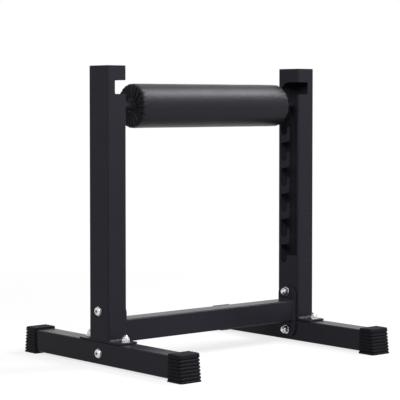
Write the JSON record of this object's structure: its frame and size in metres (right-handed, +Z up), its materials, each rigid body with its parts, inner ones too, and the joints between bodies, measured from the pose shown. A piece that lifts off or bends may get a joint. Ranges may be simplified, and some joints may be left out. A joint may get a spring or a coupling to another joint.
{
  "type": "split squat stand",
  "caption": "Free-standing split squat stand: slotted upright posts on capped foot rails, a low crossbar, and a padded roller that lifts out of hooked pockets.",
  "frame": {"origin": "floor level, under the middle of the stand", "axes": "+X along the roller to the right post, +Y to the back, +Z up; the entries of the slots face -Y"},
  "size_m": [0.6392, 0.574, 0.6619],
  "materials": {
    "steel": "satin",
    "zinc": "satin",
    "rubber": "matte",
    "plastic": "matte",
    "leather": "satin",
    "foam": "matte"
  },
  "bodies": {
    "frame": {"left_post": "steel", "right_post": "steel", "left_post_plug": "plastic", "right_post_plug": "plastic", "left_base_plate": "steel", "right_base_plate": "steel", "left_foot_rail": "steel", "right_foot_rail": "steel", "left_front_foot_cap": "rubber", "left_rear_foot_cap": "rubber", "right_front_foot_cap": "rubber", "right_rear_foot_cap": "rubber", "crossbar": "steel", "left_crossbar_flange": "steel", "right_crossbar_flange": "steel", "left_upper_bolt": "zinc", "left_upper_head_washer": "zinc", "left_upper_nut_washer": "zinc", "left_upper_nut": "zinc", "left_lower_bolt": "zinc", "left_lower_head_washer": "zinc", "left_lower_nut_washer": "zinc", "left_lower_nut": "zinc", "right_upper_bolt": "zinc", "right_upper_head_washer": "zinc", "right_upper_nut_washer": "zinc", "right_upper_nut": "zinc", "right_lower_bolt": "zinc", "right_lower_head_washer": "zinc", "right_lower_nut_washer": "zinc", "right_lower_nut": "zinc", "left_front_plate_bolt": "zinc", "left_front_plate_washer": "zinc", "left_front_plate_nut": "zinc", "left_rear_plate_bolt": "zinc", "left_rear_plate_washer": "zinc", "left_rear_plate_nut": "zinc", "right_front_plate_bolt": "zinc", "right_front_plate_washer": "zinc", "right_front_plate_nut": "zinc", "right_rear_plate_bolt": "zinc", "right_rear_plate_washer": "zinc", "right_rear_plate_nut": "zinc"},
    "bar": {"roller_bar": "steel", "left_bar_plug": "plastic", "right_bar_plug": "plastic"},
    "roller": {"roller_core": "plastic", "roller_foam": "foam", "roller_cover": "leather"}
  },
  "joints": [
    {"name": "bar_lift", "type": "slide", "parent": "frame", "child": "bar", "axis": [0, 0, 1], "range_m": [0, 0.032]},
    {"name": "roller_spin", "type": "hinge", "parent": "bar", "child": "roller", "pos_m": [0.013, 0.0156, 0.5734], "axis": [1, 0, 0], "continuous": true}
  ]
}
